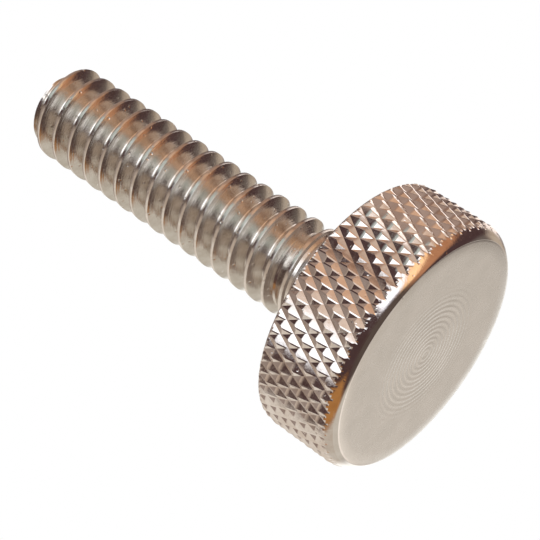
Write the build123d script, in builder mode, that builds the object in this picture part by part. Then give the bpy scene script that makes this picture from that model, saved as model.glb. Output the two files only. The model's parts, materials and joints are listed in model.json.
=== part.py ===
from build123d import *
import os
from math import cos, radians, sin

# Thumb screw, turned from one bar: a low round head with a knurled rim, and a threaded shank.
# Millimetres. The screw stands on its head: the flat outer face of the head lies on Z = 0 with
# the origin at its centre, and the shank points up along +Z.

# Head
head_diameter = 12.7        # over the tips of the knurl
head_height = 4.3           # from the flat face to the seat under the head
face_round_radius = 1.1     # polished round that leads from the knurled rim to the flat face
face_round_sweep = 60.0     # degrees of that round; it meets the face at a corner, not a tangent
face_corner_radius = 0.06   # where the round meets the flat face, broken by polishing
rim_chamfer = 0.15          # rear corner of the rim, on the shank's side

# Shank
shank_length = 19.05        # from the seat under the head to the tip
thread_diameter = 4.76      # over the thread's crests
tip_chamfer = 0.53          # at 45 degrees, so the end face is a little wider than the thread's root
neck_fillet_radius = 0.25   # where the shank grows out of the head

# Derived places
head_radius = head_diameter / 2
thread_radius = thread_diameter / 2
tip_z = head_height + shank_length
round_centre_x = head_radius - face_round_radius
face_radius = round_centre_x + face_round_radius * cos(radians(face_round_sweep))
round_start_z = face_round_radius * sin(radians(face_round_sweep))


def circles_at(part, height):
    """The part's circular edges that lie at one height, the widest last."""
    return (
        part.edges()
        .filter_by(GeomType.CIRCLE)
        .filter_by_position(Axis.Z, height, height)
        .sort_by(SortBy.RADIUS)
    )


with BuildPart() as thumb_screw:
    # Head: half of its section, turned about the axis.
    with BuildSketch(Plane.XZ):
        with BuildLine():
            face = Line((0, 0), (face_radius, 0))
            face_round = CenterArc(
                center=(round_centre_x, round_start_z),
                radius=face_round_radius,
                start_angle=-face_round_sweep,
                arc_size=face_round_sweep,
            )
            Polyline(face_round @ 1, (head_radius, head_height), (0, head_height), face @ 0)
        make_face()
    revolve(axis=Axis.Z)

    # Shank: a plain bar at the thread's outside diameter, up to the tip.
    with BuildSketch(Plane.XY.offset(head_height)):
        Circle(thread_radius)
    extrude(amount=shank_length)

    # Edges, each picked by its height and its place among the circles there.
    fillet(circles_at(thumb_screw.part, 0)[-1], face_corner_radius)
    fillet(circles_at(thumb_screw.part, head_height)[0], neck_fillet_radius)
    chamfer(circles_at(thumb_screw.part, head_height)[-1], rim_chamfer)
    chamfer(circles_at(thumb_screw.part, tip_z)[-1], tip_chamfer)

thumb_screw.part.label = "thumb_screw"

os.makedirs("parts", exist_ok=True)
export_step(thumb_screw.part, "parts/thumb_screw.step")
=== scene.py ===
"""Thumb screw: one skin of steel with its knurl, thread and turned face, and the floor, lights and camera."""

import json
import math

import bmesh
import bpy
import numpy as np
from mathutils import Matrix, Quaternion, Vector


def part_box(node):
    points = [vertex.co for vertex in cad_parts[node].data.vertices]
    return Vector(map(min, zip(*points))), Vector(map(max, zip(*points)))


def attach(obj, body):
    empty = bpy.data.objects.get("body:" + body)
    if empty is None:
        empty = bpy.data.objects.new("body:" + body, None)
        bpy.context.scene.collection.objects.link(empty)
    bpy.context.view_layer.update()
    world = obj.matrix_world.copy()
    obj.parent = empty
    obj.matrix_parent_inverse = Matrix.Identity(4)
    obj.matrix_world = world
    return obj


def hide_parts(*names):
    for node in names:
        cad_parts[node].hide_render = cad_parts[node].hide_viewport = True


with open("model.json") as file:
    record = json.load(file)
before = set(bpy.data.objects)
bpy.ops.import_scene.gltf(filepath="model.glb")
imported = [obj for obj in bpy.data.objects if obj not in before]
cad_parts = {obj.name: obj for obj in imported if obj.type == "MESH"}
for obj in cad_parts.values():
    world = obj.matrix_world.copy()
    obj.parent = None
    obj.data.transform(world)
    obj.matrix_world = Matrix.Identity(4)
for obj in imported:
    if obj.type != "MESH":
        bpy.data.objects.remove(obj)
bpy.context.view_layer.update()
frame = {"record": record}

record = frame["record"]
mounts = {mount["name"]: mount for mount in record["mounts"]}

MM = 0.001
TAU = 2 * math.pi

# Sizes that the frame gives, in millimetres
low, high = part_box("thumb_screw")
HEAD_RADIUS = high.x / MM
TIP_Z = high.z / MM
HEAD_HEIGHT = mounts["seat"]["pos_m"][2] / MM
THREAD_RADIUS = mounts["thread"]["dims"]["r_mm"]

# Edges, as in the CAD, in millimetres
FACE_ROUND_RADIUS = 1.1
FACE_ROUND_SWEEP = math.radians(60)
RIM_CHAMFER = 0.15
NECK_FILLET = 0.25
TIP_CHAMFER = 0.53
TIP_ROUNDING = 0.03         # over which the thread meets the tip's chamfer

# The softened corner between the face and the polished round starts this far inside the face's radius and
# ends so far outside it and so high above the face
CORNER_INSET = 0.08
CORNER_OUTSET = 0.012
CORNER_HEIGHT = 0.02

ROUND_CENTRE_R = HEAD_RADIUS - FACE_ROUND_RADIUS
ROUND_CENTRE_Z = FACE_ROUND_RADIUS * math.sin(FACE_ROUND_SWEEP)
FACE_RADIUS = ROUND_CENTRE_R + FACE_ROUND_RADIUS * math.cos(FACE_ROUND_SWEEP)

# Diamond knurl: two crossing families of V grooves, one family shallower than the other. KNURL_TURN and
# KNURL_LIFT set where the diamonds fall on the rim.
KNURL_TEETH = 54
KNURL_ANGLE = math.radians(32.2)
KNURL_LEAN = math.radians(1.5)  # the two families' leads differ, so the diamonds lean
KNURL_DEPTH = 0.16
KNURL_SHORT = 0.22          # share of the depth that the shallow family lacks
KNURL_TURN = 0.32           # in teeth
KNURL_LIFT = -0.20          # in diamonds, along the axis
FIRST_KNURL_Z = 0.15        # the polished round is plain below this height
ROW_GAP = 0.02              # rows of knurl points keep this far from the plain edges

# Thread: 24 turns to the inch, right hand
PITCH = 25.4 / 24
THREAD_DEPTH = 0.6134 * PITCH
ROOT_WIDTH = PITCH / 10
FLANK_SLOPE = 1 / math.tan(math.radians(30))
THREAD_ROUNDING = 0.035
THREAD_TURN = 0.947         # in turns, where the crests fall on the shank
RUNOUT_Z = 6.0              # where the groove has fully died away, towards the head
RUNOUT_LENGTH = 1.9         # the groove's floor climbs this gently, so its last turn flares out
RUNOUT_ROUNDING = 0.05
GROOVE_ROUNDING = 0.01      # over which a groove's cut dies away to nothing
END_GAP = 0.01              # the thread's points keep this far from the rings at its two ends

# Turning rings on the flat face
RING_SPACING = 0.27
RING_DEPTH = 0.014
RING_REACH = 3.9
RING_FADE = 0.4             # share of their reach over which they fade out

# How finely the skin is divided: a ring has the most points on the rim, a third as many on the shank and most
# of the face, and a ninth at the centres of both ends
KNURL_STEPS = 6             # grid steps across half a diamond, both ways
RIM_COUNT = 2 * KNURL_STEPS * KNURL_TEETH
SHANK_COUNT = RIM_COUNT // 3
CENTRE_COUNT = SHANK_COUNT // 3
THREAD_ROWS = (0.0, 0.05, 0.08, 0.16, 0.30, 0.41, 0.45)  # shares of a pitch, from crest to root
RING_STEPS = 5              # grid rings to each turning ring
CENTRE_REACH = 2.4          # the face has the fewest points inside this radius
PLAIN_EDGES = (1.2, 0.7)    # plain rings of the face, this far inside its radius
ROUND_ROWS = 8
FILLET_ROWS = 6
SEAT_ROWS = 4
SEAT_OUTER = 0.5            # the seat's rings are this far inside the rim, first with the rim's many points
SEAT_INNER = 0.9            # and from here with the shank's
END_RINGS = (1.6, 1.2)      # rings of the end face, with the shank's points
END_CENTRE = 0.8            # and one with the fewest

SHARP_ANGLE = math.radians(14)  # edges that bend more than this keep both their faces flat

FACE, ROUND, KNURL, SEAT, THREAD = range(5)  # the finishes, in the order of the material slots


def smooth_max(a, b, width):
    """The larger of two values, with the corner between them rounded over a width."""
    return 0.5 * (a + b + np.sqrt((a - b) ** 2 + width**2))


def smooth_min(a, b, width):
    """The smaller of two values, with the corner between them rounded over a width."""
    return -smooth_max(-a, -b, width)


def smooth_step(x):
    """Rises smoothly from 0 to 1 while x does."""
    x = np.clip(x, 0, 1)
    return x * x * (3 - 2 * x)


def angles(count):
    """Evenly spaced angles, once round."""
    return np.arange(count) * TAU / count


def ring(radius, z, turn):
    """One closed ring of points at the given angles; radius may be one number or one for each point."""
    return np.column_stack([radius * np.cos(turn), radius * np.sin(turn), np.full(len(turn), z)])


class Skin:
    """The points and triangles of one closed surface, grown ring by ring from the face to the tip."""

    def __init__(self):
        self.points = []
        self.triangles = []
        self.finishes = []
        self.size = 0

    def add_points(self, points):
        """Adds points and returns their numbers."""
        first = self.size
        self.points.append(np.asarray(points, float))
        self.size += len(points)
        return np.arange(first, self.size)

    def add_triangles(self, triangles, finish):
        """Adds triangles, less those with two corners in one point."""
        triangles = np.asarray(triangles).reshape(-1, 3)
        a, b, c = triangles.T
        triangles = triangles[(a != b) & (b != c) & (c != a)]
        self.triangles.append(triangles)
        self.finishes.append(np.full(len(triangles), finish))

    def join(self, one, two, finish, cross=None):
        """Fills the band between two rings of as many points. cross picks the quads cut the other way."""
        a, b = one, np.roll(one, -1)
        c, d = np.roll(two, -1), two
        straight = np.stack([a, b, c, a, c, d], axis=1)
        crossed = np.stack([a, b, d, b, c, d], axis=1)
        if cross is None:
            cross = np.zeros(len(one), bool)
        self.add_triangles(np.where(cross[:, None], crossed, straight), finish)

    def join_coarser(self, fine, coarse, finish):
        """Fills the band from a fine ring to one with a third as many points."""
        a, b = coarse, np.roll(coarse, -1)
        e, f, g, h = fine[0::3], fine[1::3], fine[2::3], np.roll(fine[0::3], -1)
        fans = [e, f, a, f, g, a, a, g, b, g, h, b]
        self.add_triangles(np.stack(fans, axis=1), finish)

    def close(self, edge, point, finish):
        """Fills a ring with a fan from a point."""
        centre = np.full(len(edge), self.add_points([point])[0])
        self.add_triangles(np.stack([edge, np.roll(edge, -1), centre], axis=1), finish)


def face_z(radius):
    """Turning rings: shallow waves cut into the face, fading out towards the edge."""
    wave = 0.5 - 0.5 * np.cos(TAU * radius / RING_SPACING)
    fade = smooth_step((radius - (1 - RING_FADE) * RING_REACH) / (RING_FADE * RING_REACH))
    return RING_DEPTH * wave * (1 - fade)


def round_radius(z):
    """The smooth outline of the head at a height: polished round, rim and rear chamfer."""
    below = np.clip(ROUND_CENTRE_Z - z, 0, FACE_ROUND_RADIUS)
    outline = ROUND_CENTRE_R + np.sqrt(FACE_ROUND_RADIUS**2 - below**2)
    chamfer = HEAD_RADIUS - RIM_CHAMFER + (HEAD_HEIGHT - z)
    return np.minimum(outline, chamfer)


DIAMOND = TAU * HEAD_RADIUS / KNURL_TEETH / math.tan(KNURL_ANGLE)  # length of a diamond, along the axis
LEAN_RATE = math.tan(KNURL_LEAN) / HEAD_RADIUS                     # in radians a millimetre


def rim_turn(z):
    """The angles of a rim ring's points, which follow the diamonds' columns."""
    return angles(RIM_COUNT) - KNURL_TURN * TAU / KNURL_TEETH - LEAN_RATE * z


def knurl_radius(turn, z):
    """Radius of the knurled surface, before the rim's edges are cut."""
    around = (turn + LEAN_RATE * z) * KNURL_TEETH / TAU + KNURL_TURN
    along = z / DIAMOND + KNURL_LIFT
    shallow, deep = around + along, around - along
    groove = np.maximum(1 - 2 * np.abs(deep - np.round(deep)),
                        1 - 2 * np.abs(shallow - np.round(shallow)) - KNURL_SHORT)
    return HEAD_RADIUS - KNURL_DEPTH * groove


def rim_radius(turn, z):
    """Radius of the knurled rim with its edges cut."""
    return np.minimum(round_radius(z), knurl_radius(turn, z))


def thread_radius(share, z):
    """Radius of the threaded shank, where share runs from 0 at one crest to 1 at the next."""
    from_root = np.abs((share % 1.0) - 0.5) * PITCH
    flank = (from_root - ROOT_WIDTH / 2) * FLANK_SLOPE
    raised = smooth_min(smooth_max(flank, 0, THREAD_ROUNDING), THREAD_DEPTH, THREAD_ROUNDING)
    flare = THREAD_DEPTH * (z - RUNOUT_Z) / RUNOUT_LENGTH
    cut = smooth_min(THREAD_DEPTH - raised, flare, RUNOUT_ROUNDING)
    cut = smooth_max(cut, 0, GROOVE_ROUNDING)
    cone = THREAD_RADIUS - TIP_CHAMFER + (TIP_Z - z)
    return np.minimum(THREAD_RADIUS, smooth_min(THREAD_RADIUS - cut, cone, TIP_ROUNDING))


def build_face(skin):
    """The flat face, from its centre to the corner of the polished round. Returns its outer ring."""
    step = RING_SPACING / RING_STEPS
    radii = np.append(np.arange(2 * step, RING_REACH, step), FACE_RADIUS - PLAIN_EDGES[0])
    change = np.searchsorted(radii, CENTRE_REACH)
    inner = [skin.add_points(ring(r, face_z(r), angles(CENTRE_COUNT))) for r in radii[:change]]
    outer = [skin.add_points(ring(r, face_z(r), angles(SHANK_COUNT))) for r in radii[change:]]
    plain = (FACE_RADIUS - PLAIN_EDGES[1], FACE_RADIUS - CORNER_INSET)
    rest = [skin.add_points(ring(r, 0, rim_turn(0))) for r in plain]
    skin.close(inner[0], (0, 0, 0), FACE)
    for one, two in zip(inner, inner[1:]):
        skin.join(two, one, FACE)
    skin.join_coarser(outer[0], inner[-1], FACE)
    for one, two in zip(outer, outer[1:]):
        skin.join(two, one, FACE)
    skin.join_coarser(rest[0], outer[-1], FACE)
    skin.join(rest[1], rest[0], FACE)
    return rest[1]


def build_rim(skin, face_edge):
    """The corner, the polished round, the knurl and the rear chamfer. Returns the rear ring."""
    previous = skin.add_points(ring(FACE_RADIUS + CORNER_OUTSET, CORNER_HEIGHT, rim_turn(CORNER_HEIGHT)))
    skin.join(previous, face_edge, ROUND)
    knurl_start = math.asin((ROUND_CENTRE_Z - FIRST_KNURL_Z) / FACE_ROUND_RADIUS)
    for swing in np.linspace(-FACE_ROUND_SWEEP, -knurl_start, ROUND_ROWS)[1:]:
        z = ROUND_CENTRE_Z + FACE_ROUND_RADIUS * math.sin(swing)
        r = ROUND_CENTRE_R + FACE_ROUND_RADIUS * math.cos(swing)
        current = skin.add_points(ring(r, z, rim_turn(z)))
        skin.join(current, previous, ROUND)
        previous = current
    step = DIAMOND / (2 * KNURL_STEPS)
    lift = KNURL_LIFT * DIAMOND
    first = math.ceil((FIRST_KNURL_Z + ROW_GAP + lift) / step)
    last = math.floor((HEAD_HEIGHT - ROW_GAP + lift) / step)
    column = np.arange(RIM_COUNT)
    for row in range(first, last + 2):
        z = min(row * step - lift, HEAD_HEIGHT)
        turn = rim_turn(z)
        current = skin.add_points(ring(rim_radius(turn, z), z, turn))
        cross = (column - row + 1) % KNURL_STEPS == 0
        skin.join(current, previous, KNURL, cross=cross)
        previous = current
    return previous


def build_seat(skin, rim_edge):
    """The flat seat under the head, the fillet and the plain neck. Returns the ring at the thread's start."""
    outer = skin.add_points(ring(HEAD_RADIUS - SEAT_OUTER, HEAD_HEIGHT, rim_turn(HEAD_HEIGHT)))
    skin.join(outer, rim_edge, SEAT)
    fillet_r = THREAD_RADIUS + NECK_FILLET
    radii = np.linspace(HEAD_RADIUS - SEAT_INNER, fillet_r, SEAT_ROWS)
    flat = [skin.add_points(ring(r, HEAD_HEIGHT, angles(SHANK_COUNT))) for r in radii]
    skin.join_coarser(outer, flat[0], SEAT)
    for one, two in zip(flat, flat[1:]):
        skin.join(two, one, SEAT)
    previous = flat[-1]
    for swing in np.linspace(0, math.pi / 2, FILLET_ROWS)[1:]:
        r = fillet_r - NECK_FILLET * math.sin(swing)
        z = HEAD_HEIGHT + NECK_FILLET * (1 - math.cos(swing))
        current = skin.add_points(ring(r, z, angles(SHANK_COUNT)))
        skin.join(current, previous, THREAD)
        previous = current
    current = skin.add_points(ring(THREAD_RADIUS, RUNOUT_Z, angles(SHANK_COUNT)))
    skin.join(current, previous, THREAD)
    return current


def build_thread(skin, first_ring):
    """The helical thread as a strip that follows its own lead, cut off level at both ends.

    A row of points has one share of the thread's section and climbs by one pitch a turn. Points past either
    end fall together with that end's ring, and the triangles between them are dropped.
    """
    half = list(THREAD_ROWS)
    shares = np.array(half + [0.5] + [1 - s for s in reversed(half[1:])])
    rows_a_turn = len(shares)
    start = RUNOUT_Z - 2 * PITCH + THREAD_TURN * PITCH
    turns = math.ceil((TIP_Z - start) / PITCH) + 1
    lead = (np.arange(turns)[:, None] + shares[None, :]).ravel()
    column = np.arange(SHANK_COUNT)
    raw = start + (lead[:, None] + column[None, :] / SHANK_COUNT) * PITCH
    share = np.broadcast_to(lead[:, None], raw.shape)
    turn = np.broadcast_to(angles(SHANK_COUNT), raw.shape)
    inside = (raw > RUNOUT_Z + END_GAP) & (raw < TIP_Z - END_GAP)

    end_share = (TIP_Z - start) / PITCH - column / SHANK_COUNT
    last_ring = skin.add_points(ring(thread_radius(end_share, TIP_Z), TIP_Z, angles(SHANK_COUNT)))
    ids = np.where(raw < (RUNOUT_Z + TIP_Z) / 2, first_ring[None, :], last_ring[None, :])
    radius = thread_radius(share, raw)
    points = np.stack([radius * np.cos(turn), radius * np.sin(turn), raw], axis=-1)
    ids[inside] = skin.add_points(points[inside])

    seam = np.concatenate([ids[rows_a_turn:, 0], np.full(rows_a_turn, last_ring[0])])
    right = np.column_stack([ids[:, 1:], seam])
    a, b = ids[:-1], right[:-1]
    c, d = right[1:], ids[1:]
    skin.add_triangles(np.stack([a, b, c, a, c, d], axis=-1), THREAD)
    return last_ring


def build_end(skin, last_ring):
    """The flat end face at the tip."""
    previous = last_ring
    for r in END_RINGS:
        current = skin.add_points(ring(r, TIP_Z, angles(SHANK_COUNT)))
        skin.join(current, previous, SEAT)
        previous = current
    coarse = skin.add_points(ring(END_CENTRE, TIP_Z, angles(CENTRE_COUNT)))
    skin.join_coarser(previous, coarse, SEAT)
    skin.close(coarse, (0, 0, TIP_Z), SEAT)


def build_screw():
    """The whole screw as one closed mesh, in metres, with the five finishes as its material slots."""
    skin = Skin()
    face_edge = build_face(skin)
    rim_edge = build_rim(skin, face_edge)
    neck = build_seat(skin, rim_edge)
    last_ring = build_thread(skin, neck)
    build_end(skin, last_ring)
    points = np.concatenate(skin.points) * MM
    triangles = np.concatenate(skin.triangles)
    mesh = bpy.data.meshes.new("knurled_screw")
    mesh.from_pydata(points.tolist(), [], triangles.tolist())
    mesh.polygons.foreach_set("material_index", np.concatenate(skin.finishes).astype(np.int32))
    mesh.polygons.foreach_set("use_smooth", np.ones(len(triangles), bool))
    shape = bmesh.new()
    shape.from_mesh(mesh)
    bmesh.ops.recalc_face_normals(shape, faces=shape.faces)
    shape.to_mesh(mesh)
    shape.free()
    mesh.set_sharp_from_angle(angle=SHARP_ANGLE)
    screw = bpy.data.objects.new("knurled_screw", mesh)
    bpy.context.scene.collection.objects.link(screw)
    return screw


def new_node(tree, kind, *values, **settings):
    """A node of a kind, with its first inputs set to values or linked, and its settings such as operation."""
    node = tree.nodes.new("ShaderNode" + kind)
    for name, setting in settings.items():
        setattr(node, name, setting)
    for socket, value in zip(node.inputs, values):
        connect(tree, socket, value)
    return node


def connect(tree, socket, value):
    """Links a socket to another one, or sets its own value. None leaves it as it is."""
    if isinstance(value, bpy.types.NodeSocket):
        tree.links.new(value, socket)
    elif value is not None:
        socket.default_value = value


def maths(tree, operation, *values):
    """The result of a Math node."""
    return new_node(tree, "Math", *values, operation=operation).outputs[0]


def smooth_range(tree, value, start, end, low_end=0.0, high_end=1.0):
    """Rises smoothly from one number to another while the value goes from start to end."""
    node = new_node(tree, "MapRange", value, start, end, low_end, high_end, interpolation_type="SMOOTHSTEP")
    return node.outputs["Result"]


def noise(tree, vector, scale, detail=2.0):
    """Noise from 0 to 1, at so many cells to the metre."""
    node = new_node(tree, "TexNoise")
    connect(tree, node.inputs["Vector"], vector)
    connect(tree, node.inputs["Scale"], scale)
    connect(tree, node.inputs["Detail"], detail)
    return node.outputs["Fac"]


def bump(tree, height, depth, normal=None):
    """A bump of a depth in metres, on top of an earlier bump where there is one."""
    node = new_node(tree, "Bump")
    connect(tree, node.inputs["Strength"], 1.0)
    connect(tree, node.inputs["Distance"], depth)
    connect(tree, node.inputs["Height"], height)
    connect(tree, node.inputs["Normal"], normal)
    return node.outputs["Normal"]


class Steel:
    """A steel finish: colour and roughness that wander a little, and marks cut into it as bumps.

    Colours run from dull to bright in patches, patch of them to the metre. Roughness wanders by spread on
    both sides of its middle, on a grain GRAIN_TO_PATCH times as fine.
    """

    GRAIN_TO_PATCH = 5
    TINT_STOPS = (0.35, 0.65)   # noise values where the colour is fully dull and fully bright
    ROUGH_STOPS = (0.3, 0.7)    # and where the roughness is least and most
    WANDER = 150.0              # how fast turned lines change along themselves, in changes to the metre
    PIT_FLOOR = 0.10            # radii of a pit's floor and rim, as shares of its cell
    PIT_RIM = 0.32
    PIT_CHOICE = 0.02           # width of the step between cells with and without a pit

    def __init__(self, name, bright, dull, roughness, spread, patch=700):
        self.material = bpy.data.materials.new(name)
        self.material.use_nodes = True
        self.tree = self.material.node_tree
        self.shader = self.tree.nodes["Principled BSDF"]
        self.place = new_node(self.tree, "TexCoord").outputs["Object"]
        self.normal = None
        tree = self.tree
        patches = noise(tree, self.place, patch, 3.0)
        tint = new_node(tree, "ValToRGB", patches)
        for stop, position, colour in zip(tint.color_ramp.elements, self.TINT_STOPS, (dull, bright)):
            stop.position = position
            stop.color = (*colour, 1)
        connect(tree, self.shader.inputs["Base Color"], tint.outputs["Color"])
        self.shader.inputs["Metallic"].default_value = 1
        grain = noise(tree, self.place, self.GRAIN_TO_PATCH * patch)
        rough = smooth_range(tree, grain, *self.ROUGH_STOPS, roughness - spread, roughness + spread)
        connect(tree, self.shader.inputs["Roughness"], rough)

    def add_bump(self, height, depth):
        """Cuts a height into the surface, on top of the marks that it has."""
        self.normal = bump(self.tree, height, depth, self.normal)
        connect(self.tree, self.shader.inputs["Normal"], self.normal)

    def add_grain(self, scale, depth):
        """Even fine grain."""
        self.add_bump(noise(self.tree, self.place, scale, 3.0), depth)

    def add_turning(self, radial, axial, depth):
        """Lines that run round the axis, as a lathe leaves them: so many to the metre outwards and along."""
        tree = self.tree
        x, y, z = new_node(tree, "SeparateXYZ", self.place).outputs
        squares = maths(tree, "ADD", maths(tree, "POWER", x, 2.0), maths(tree, "POWER", y, 2.0))
        out = maths(tree, "MULTIPLY", maths(tree, "SQRT", squares), radial)
        along = maths(tree, "MULTIPLY", z, axial)
        change = maths(tree, "MULTIPLY", x, self.WANDER)
        lines = new_node(tree, "CombineXYZ", out, along, change)
        self.add_bump(noise(tree, lines.outputs[0], 1.0, 3.0), depth)

    def add_pits(self, scale, share, depth):
        """Scattered small dents, in a share of the cells of a grid with so many cells to the metre."""
        tree = self.tree
        cells = new_node(tree, "TexVoronoi")
        connect(tree, cells.inputs["Vector"], self.place)
        connect(tree, cells.inputs["Scale"], scale)
        dent = smooth_range(tree, cells.outputs["Distance"], self.PIT_FLOOR, self.PIT_RIM)
        lot = new_node(tree, "SeparateColor", cells.outputs["Color"]).outputs["Red"]
        plain = smooth_range(tree, lot, share, share + self.PIT_CHOICE)
        self.add_bump(maths(tree, "MAXIMUM", dent, plain), depth)


def faced_steel():
    """The flat face: satin, with fine lines round the axis."""
    steel = Steel("faced_steel", (0.74, 0.70, 0.66), (0.69, 0.655, 0.615), 0.24, 0.04)
    steel.add_turning(9000, 0, 1.2e-6)
    steel.add_grain(16000, 0.8e-6)
    steel.add_pits(1500, 0.04, 4e-6)
    return steel.material


def polished_steel():
    """The round between the face and the rim."""
    steel = Steel("polished_steel", (0.76, 0.72, 0.69), (0.68, 0.63, 0.59), 0.10, 0.04)
    steel.add_turning(0, 9000, 0.8e-6)
    steel.add_pits(3500, 0.12, 4e-6)
    return steel.material


def knurled_steel():
    """The knurl: bright and slightly grainy."""
    steel = Steel("knurled_steel", (0.76, 0.72, 0.69), (0.64, 0.57, 0.52), 0.13, 0.05, 1200)
    steel.add_grain(9000, 3e-6)
    steel.add_pits(5000, 0.10, 6e-6)
    return steel.material


def seat_steel():
    """The underside of the head and the end face, as turned."""
    steel = Steel("seat_steel", (0.72, 0.68, 0.64), (0.66, 0.62, 0.58), 0.28, 0.05)
    steel.add_turning(12000, 0, 3e-6)
    return steel.material


def threaded_steel():
    """The thread and the neck: a dull sheen with streaks and small dents."""
    steel = Steel("threaded_steel", (0.72, 0.69, 0.65), (0.62, 0.58, 0.53), 0.20, 0.05, 1800)
    steel.add_turning(16000, 9000, 6e-6)
    steel.add_grain(6000, 4e-6)
    steel.add_pits(3800, 0.20, 12e-6)
    return steel.material


screw = build_screw()
for finish in (faced_steel, polished_steel, knurled_steel, seat_steel, threaded_steel):
    screw.data.materials.append(finish())
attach(screw, "root")
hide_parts("thumb_screw")

# The camera looks at the middle of the screw from the face's side, rolled so that the tip points up and left
CAMERA_PLACE = Vector((0, -80.93, -32.37)) * MM
CAMERA_AIM = Vector((-0.819, 1.191, 9.312)) * MM
CAMERA_ROLL = math.radians(55.52)
camera_data = bpy.data.cameras.new("camera")
camera_data.sensor_width = 36
camera_data.lens = 131.3
camera_data.clip_start = 5 * MM
camera_data.clip_end = 5000 * MM
camera = bpy.data.objects.new("camera", camera_data)
bpy.context.scene.collection.objects.link(camera)
camera.location = CAMERA_PLACE
forward = (CAMERA_AIM - CAMERA_PLACE).normalized()
camera.rotation_mode = "QUATERNION"
camera.rotation_quaternion = Quaternion(forward, CAMERA_ROLL) @ forward.to_track_quat("-Z", "Y")
bpy.context.scene.camera = camera

# The studio round the screw, as soft-edged upright panels. Each one's middle and half width are angles round
# the screw, from the camera's side towards +X, its foot and top are heights, all in degrees, and its colour
# is linear. A later panel covers an earlier one.
PANELS = (
    ("wall_front", -43, 20, 5, 40, (0.64, 0.53, 0.44)),
    ("wall_high", 84, 48, 36, 66, (0.50, 0.37, 0.31)),
    ("wall_left", -112, 46, -3, 20, (0.90, 0.83, 0.74)),
    ("wall_left_lit", -104, 44, 20, 36, (1.05, 0.96, 0.86)),
    ("wall_left_high", -90, 66, 36, 68, (0.40, 0.32, 0.28)),
    ("window_low", 30, 18, -58, -14, (1.90, 1.95, 2.10)),
    ("window_side", 30, 12, -14, 20, (1.00, 0.82, 0.70)),
    ("window_high", 4, 16, -14, 18, (1.90, 1.95, 2.05)),
    ("window_top", 20, 16, 18, 44, (0.70, 0.78, 0.76)),
    ("lamp_glow", 62, 12, -62, -12, (1.60, 1.00, 0.54)),
    ("lamp_wall", 54, 12, -12, 36, (0.86, 0.55, 0.37)),
    ("warm_edge", 90, 15, -68, -10, (0.62, 0.29, 0.15)),
    ("warm_wall", 86, 16, -10, 34, (0.50, 0.31, 0.22)),
    ("warm_card", 92, 14, -6, 14, (0.80, 0.62, 0.50)),
    ("card_right", 134, 24, 4, 25, (2.00, 1.80, 1.70)),
    ("wall_right", 158, 14, -16, 6, (0.58, 0.48, 0.38)),
    ("paper_behind", 188, 18, -14, 45, (1.35, 1.35, 1.30)),
    ("table_behind", 182, 26, -75, -14, (0.69, 0.635, 0.57)),
    ("table_shade", 155, 15, -60, -18, (0.20, 0.17, 0.15)),
    ("table_sheen", 205, 15, -55, -18, (1.20, 1.12, 1.02)),
    ("card_left", -130, 22, -66, 0, (0.70, 0.65, 0.57)),
    ("wood_left", -87, 20, -52, -10, (0.52, 0.24, 0.075)),
    ("ceiling", 60, 95, 68, 90, (1.20, 1.25, 1.25)),
)
DARK = (0.090, 0.052, 0.052, 1)  # between the panels
NADIR = (0.12, 0.09, 0.075, 1)   # straight below
NADIR_FADE = (-75, -55)          # heights between which it gives way to the dark, in degrees
PANEL_EDGE = 7                   # half the width of a panel's soft edge, in degrees
HIGHEST = 85                     # a panel's foot has softened by this height


def mix_colours(tree, share, one, two):
    """One colour where the share is 0, turning to the other where it is 1."""
    node = new_node(tree, "Mix", data_type="RGBA")
    connect(tree, node.inputs["Factor"], share)
    connect(tree, node.inputs[6], one)
    connect(tree, node.inputs[7], two)
    return node.outputs[2]


def sine(degrees):
    """The sine of an angle in degrees."""
    return math.sin(math.radians(degrees))


def cosine(degrees):
    """The cosine of an angle in degrees."""
    return math.cos(math.radians(degrees))


def build_world():
    """Dark surroundings with the panels in them for reflections and light, and plain white for the camera."""
    world = bpy.data.worlds.new("studio")
    bpy.context.scene.world = world
    world.use_nodes = True
    tree = world.node_tree
    tree.nodes.clear()
    direction = new_node(tree, "TexCoord").outputs["Generated"]
    height = new_node(tree, "SeparateXYZ", direction).outputs["Z"]
    level = new_node(tree, "VectorMath", direction, (1, 1, 0), operation="MULTIPLY").outputs[0]
    level = new_node(tree, "VectorMath", level, operation="NORMALIZE").outputs[0]
    seen = mix_colours(tree, smooth_range(tree, height, *map(sine, NADIR_FADE)), NADIR, DARK)
    for name, middle, half_width, foot, top, colour in PANELS:
        towards = (sine(middle), -cosine(middle), 0)
        facing = new_node(tree, "VectorMath", level, towards, operation="DOT_PRODUCT").outputs["Value"]
        outside, inside = cosine(half_width + PANEL_EDGE), cosine(half_width - PANEL_EDGE)
        share = smooth_range(tree, facing, outside, inside)
        over_foot = smooth_range(tree, height, sine(foot - PANEL_EDGE), sine(min(foot + PANEL_EDGE, HIGHEST)))
        share = maths(tree, "MULTIPLY", share, over_foot)
        if top < 90:
            fade = sine(top - PANEL_EDGE), sine(min(top + PANEL_EDGE, 90))
            share = maths(tree, "MULTIPLY", share, smooth_range(tree, height, *fade, 1.0, 0.0))
        seen = mix_colours(tree, share, seen, (*colour, 1))
        seen.node.label = name
    studio = new_node(tree, "Background", seen, 1.0)
    paper = new_node(tree, "Background", (1, 1, 1, 1), 1.0)
    to_camera = new_node(tree, "LightPath").outputs["Is Camera Ray"]
    shown = new_node(tree, "MixShader", to_camera, studio.outputs[0], paper.outputs[0])
    new_node(tree, "OutputWorld", shown.outputs[0])


FLOOR_GAP = 0.02 * MM       # below the face, so that the two don't meet
FLOOR_RADIUS = 120 * MM
FLOOR_SIDES = 96
FLOOR_FADE = (35 * MM, 110 * MM)  # distances over which the floor fades into the white around it
FLOOR_COLOUR = (0.86, 0.86, 0.85, 1)


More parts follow.
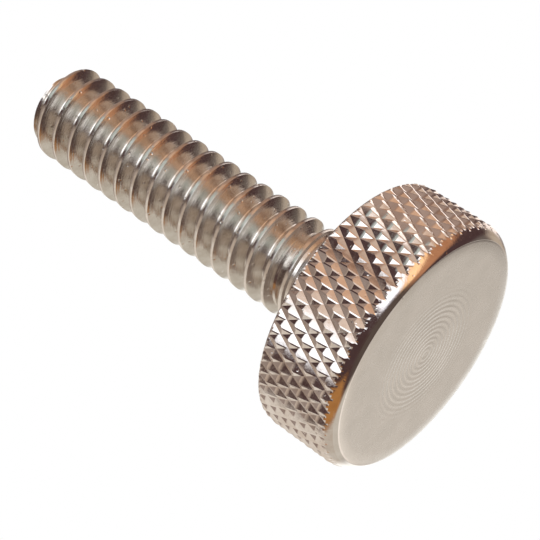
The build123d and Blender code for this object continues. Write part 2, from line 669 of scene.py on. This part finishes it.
def build_floor():
    """A pale floor that shows from above only.

    The photograph's camera looks at the face that the screw stands on. No light bounces off the floor and no
    reflection shows it, so the screw looks the same with it and without.
    """
    mesh = bpy.data.meshes.new("floor")
    shape = bmesh.new()
    bmesh.ops.create_circle(shape, cap_ends=True, segments=FLOOR_SIDES, radius=FLOOR_RADIUS)
    shape.to_mesh(mesh)
    shape.free()
    floor = bpy.data.objects.new("floor", mesh)
    bpy.context.scene.collection.objects.link(floor)
    floor.location.z = -FLOOR_GAP
    material = bpy.data.materials.new("pale_floor")
    material.use_nodes = True
    tree = material.node_tree
    tree.nodes.clear()
    place = new_node(tree, "TexCoord").outputs["Object"]
    reach = new_node(tree, "VectorMath", place, operation="LENGTH").outputs["Value"]
    faded = smooth_range(tree, reach, *FLOOR_FADE)
    hidden = maths(tree, "MAXIMUM", faded, new_node(tree, "NewGeometry").outputs["Backfacing"])
    pale = new_node(tree, "BsdfDiffuse", FLOOR_COLOUR)
    clear = new_node(tree, "BsdfTransparent")
    shown = new_node(tree, "MixShader", hidden, pale.outputs[0], clear.outputs[0])
    new_node(tree, "OutputMaterial", shown.outputs[0])
    mesh.materials.append(material)
    floor.visible_shadow = False
    floor.visible_glossy = False
    floor.visible_diffuse = False
    floor.visible_transmission = False


LAMP_PLACE = Vector((0.06, -0.06, 0.25))
LAMP_SIZE = 200 * MM
LAMP_POWER = 0.42           # in watts


def build_lamp():
    """A wide lamp overhead, which lights the floor and gives the screw a soft shadow on it."""
    lamp_data = bpy.data.lights.new("overhead_lamp", "AREA")
    lamp_data.shape = "DISK"
    lamp_data.size = LAMP_SIZE
    lamp_data.energy = LAMP_POWER
    lamp = bpy.data.objects.new("overhead_lamp", lamp_data)
    lamp.location = LAMP_PLACE
    lamp.rotation_euler = (-LAMP_PLACE).to_track_quat("-Z", "Y").to_euler()
    lamp.visible_glossy = False
    bpy.context.scene.collection.objects.link(lamp)


build_world()
build_floor()
build_lamp()
bpy.context.scene.view_settings.view_transform = "Standard"
